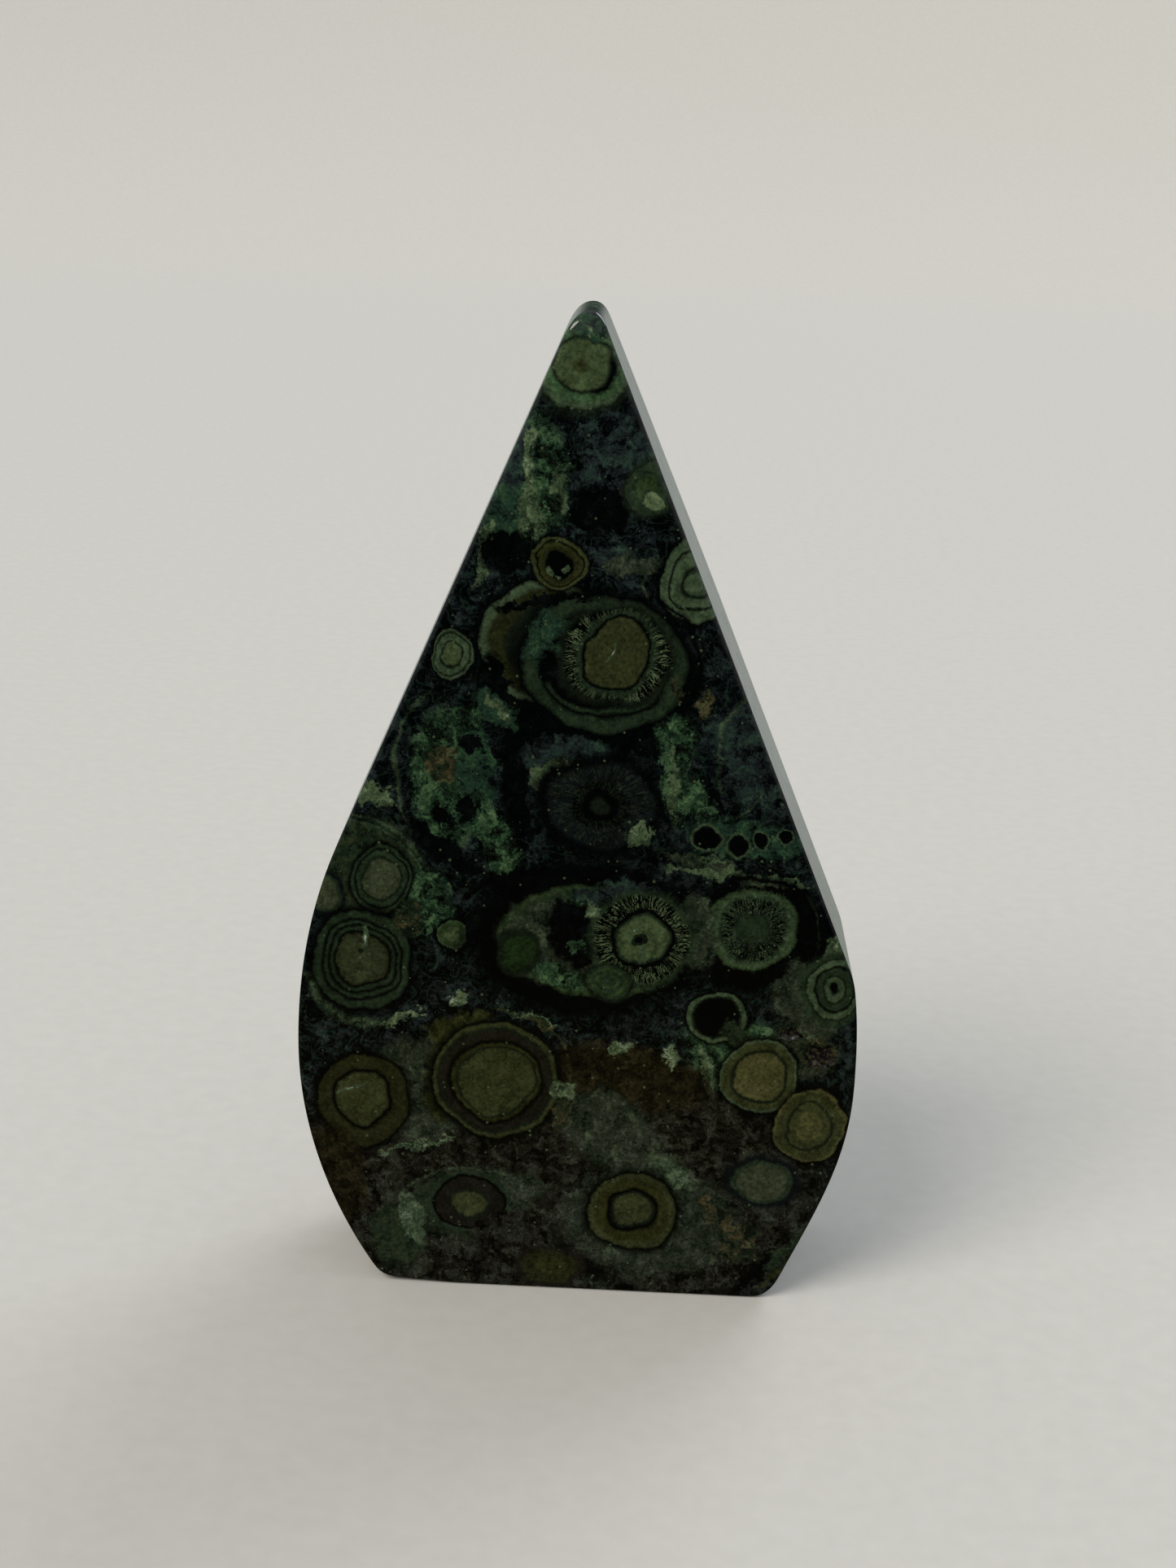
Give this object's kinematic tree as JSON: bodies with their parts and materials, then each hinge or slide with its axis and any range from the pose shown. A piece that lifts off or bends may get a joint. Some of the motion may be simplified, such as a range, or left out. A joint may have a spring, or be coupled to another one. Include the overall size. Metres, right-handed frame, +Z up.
{
  "type": "polished kambaba jasper flame",
  "caption": "Freestanding flame-shaped slab of polished kambaba jasper, dark green with ringed orbs, with a blunt point, round belly and a flat foot.",
  "frame": {"origin": "centre of the foot, in the plane that the stone stands on", "axes": "+Z up to the point, +X along the face to its right as seen from the front, +Y through the thickness, away from the front face"},
  "size_m": [0.0612, 0.02, 0.1089],
  "materials": {
    "jasper": "polished"
  },
  "bodies": {
    "root": {"jasper_flame": "jasper"}
  },
  "joints": []
}
